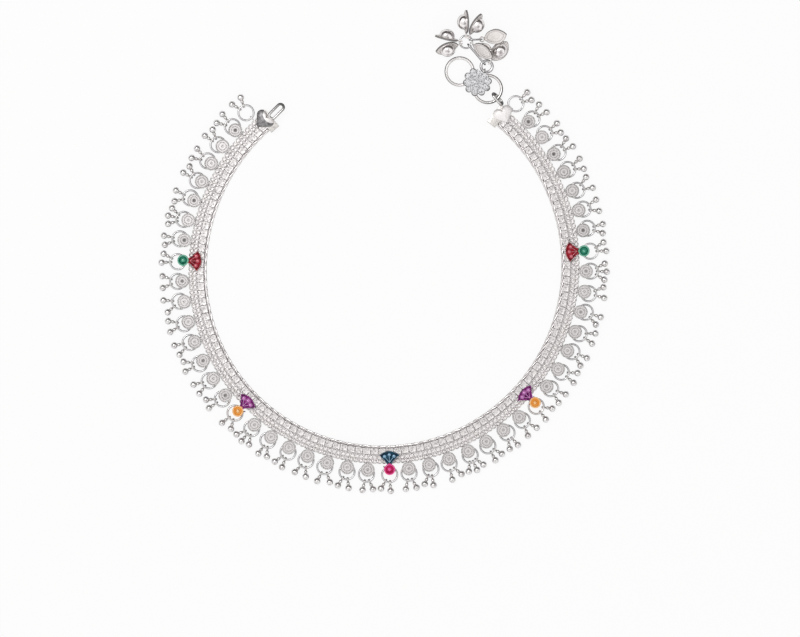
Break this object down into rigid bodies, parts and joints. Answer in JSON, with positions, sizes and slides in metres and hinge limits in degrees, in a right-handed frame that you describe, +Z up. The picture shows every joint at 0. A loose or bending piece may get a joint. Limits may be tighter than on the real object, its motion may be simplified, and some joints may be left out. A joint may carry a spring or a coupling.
{
  "type": "payal anklet",
  "caption": "Silver payal anklet lying open: woven band edged with flower discs, jump rings and round bells, enamelled fans, S-hook and a cluster of leaf bells.",
  "frame": {"origin": "middle of the bounding box's underside, on the surface that the anklet lies on", "axes": "+Z up off that surface; +Y along the longest extent, from the bottom of the loop to the bells; +X to the right, towards the hooked end"},
  "size_m": [0.1156, 0.1238, 0.0042],
  "materials": {
    "woven_silver": "fine woven silver, soft shine",
    "stamped_silver": "stamped silver, darker in its hollows",
    "satin_silver": "satin silver",
    "polished_silver": "polished silver",
    "enamel_red": "translucent glossy enamel",
    "enamel_green": "translucent glossy enamel",
    "enamel_purple": "translucent glossy enamel",
    "enamel_orange": "translucent glossy enamel",
    "enamel_navy": "translucent glossy enamel",
    "enamel_pink": "translucent glossy enamel"
  },
  "bodies": {
    "root": {"bell_link": "polished_silver", "bell_ring": "polished_silver", "coil_ring": "polished_silver", "dot_enamel_1": "enamel_green", "dot_enamel_2": "enamel_orange", "dot_enamel_3": "enamel_pink", "dot_enamel_4": "enamel_orange", "dot_enamel_5": "enamel_green", "fan_enamel_1": "enamel_red", "fan_enamel_2": "enamel_purple", "fan_enamel_3": "enamel_navy", "fan_enamel_4": "enamel_purple", "fan_enamel_5": "enamel_red", "fan_plate_1": "stamped_silver", "fan_plate_2": "stamped_silver", "fan_plate_3": "stamped_silver", "fan_plate_4": "stamped_silver", "fan_plate_5": "stamped_silver", "ghungroo_drops": "polished_silver", "heart_end_left": "satin_silver", "heart_end_right": "satin_silver", "jump_rings": "polished_silver", "leaf_bell_1": "polished_silver", "leaf_bell_2": "polished_silver", "leaf_bell_3": "polished_silver", "leaf_bell_4": "polished_silver", "leaf_bell_5": "polished_silver", "leaf_bell_6": "polished_silver", "leaf_bell_7": "polished_silver", "long_link": "polished_silver", "rosettes_1": "stamped_silver", "rosettes_2": "stamped_silver", "rosettes_3": "stamped_silver", "rosettes_4": "stamped_silver", "rosettes_5": "stamped_silver", "rosettes_6": "stamped_silver", "s_hook_clasp": "polished_silver", "woven_band": "woven_silver"}
  },
  "joints": []
}
